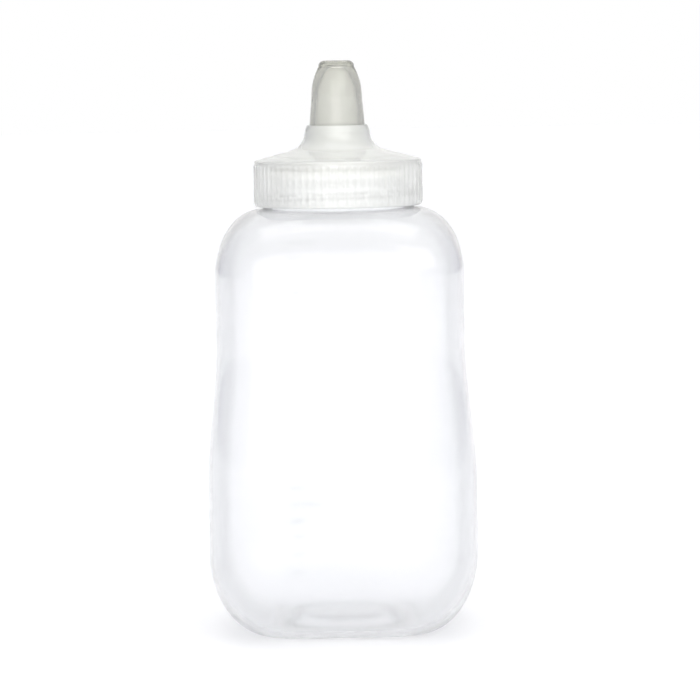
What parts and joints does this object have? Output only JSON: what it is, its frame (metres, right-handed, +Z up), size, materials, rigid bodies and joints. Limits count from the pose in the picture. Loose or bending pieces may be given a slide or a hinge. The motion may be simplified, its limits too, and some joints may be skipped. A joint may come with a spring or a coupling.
{
  "type": "calf feeding bottle",
  "caption": "Square-bodied translucent feeding bottle for calves, with a wide screw cap that clamps a long soft teat and a non-return valve plate.",
  "frame": {"origin": "centre of the base that the bottle stands on", "axes": "+Z up along the bottle's axis, towards the teat's tip; -Y is the front panel, +X the right-hand panel"},
  "size_m": [0.1202, 0.1202, 0.256],
  "materials": {
    "bottle_plastic": "natural translucent HDPE, satin",
    "cap_plastic": "natural translucent polypropylene, smooth",
    "teat_rubber": "translucent silicone, satin",
    "seal_rubber": "soft white seal",
    "valve_plastic": "moulded polypropylene",
    "ball_plastic": "moulded polypropylene ball, natural white",
    "vent_steel": "polished stainless steel"
  },
  "bodies": {
    "bottle": {"bottle": "bottle_plastic"},
    "teat_unit": {"teat": "teat_rubber", "sealing_ring": "seal_rubber", "valve_plate": "valve_plastic", "valve_cage": "valve_plastic", "vent_plug": "valve_plastic"},
    "cap": {"screw_cap": "cap_plastic"},
    "milk_ball": {"milk_ball": "ball_plastic"},
    "vent_ball": {"vent_ball": "vent_steel"}
  },
  "joints": [
    {"name": "cap_lift", "type": "slide", "parent": "bottle", "child": "teat_unit", "axis": [0, 0, 1], "range_m": [0, 0.00675]},
    {"name": "cap_turn", "type": "hinge", "parent": "teat_unit", "child": "cap", "pos_m": [0, 0, 0.196], "axis": [0, 0, 1], "range_deg": [0, 540]},
    {"name": "milk_ball_travel", "type": "slide", "parent": "teat_unit", "child": "milk_ball", "axis": [0, 0, 1], "range_m": [0, 0.003]},
    {"name": "vent_ball_travel", "type": "slide", "parent": "teat_unit", "child": "vent_ball", "axis": [0, 0, 1], "range_m": [0, 0.0016]}
  ],
  "couplings": [
    {"joint": "cap_lift", "follows": "cap_turn", "m_per_rad": 0.0007162}
  ]
}
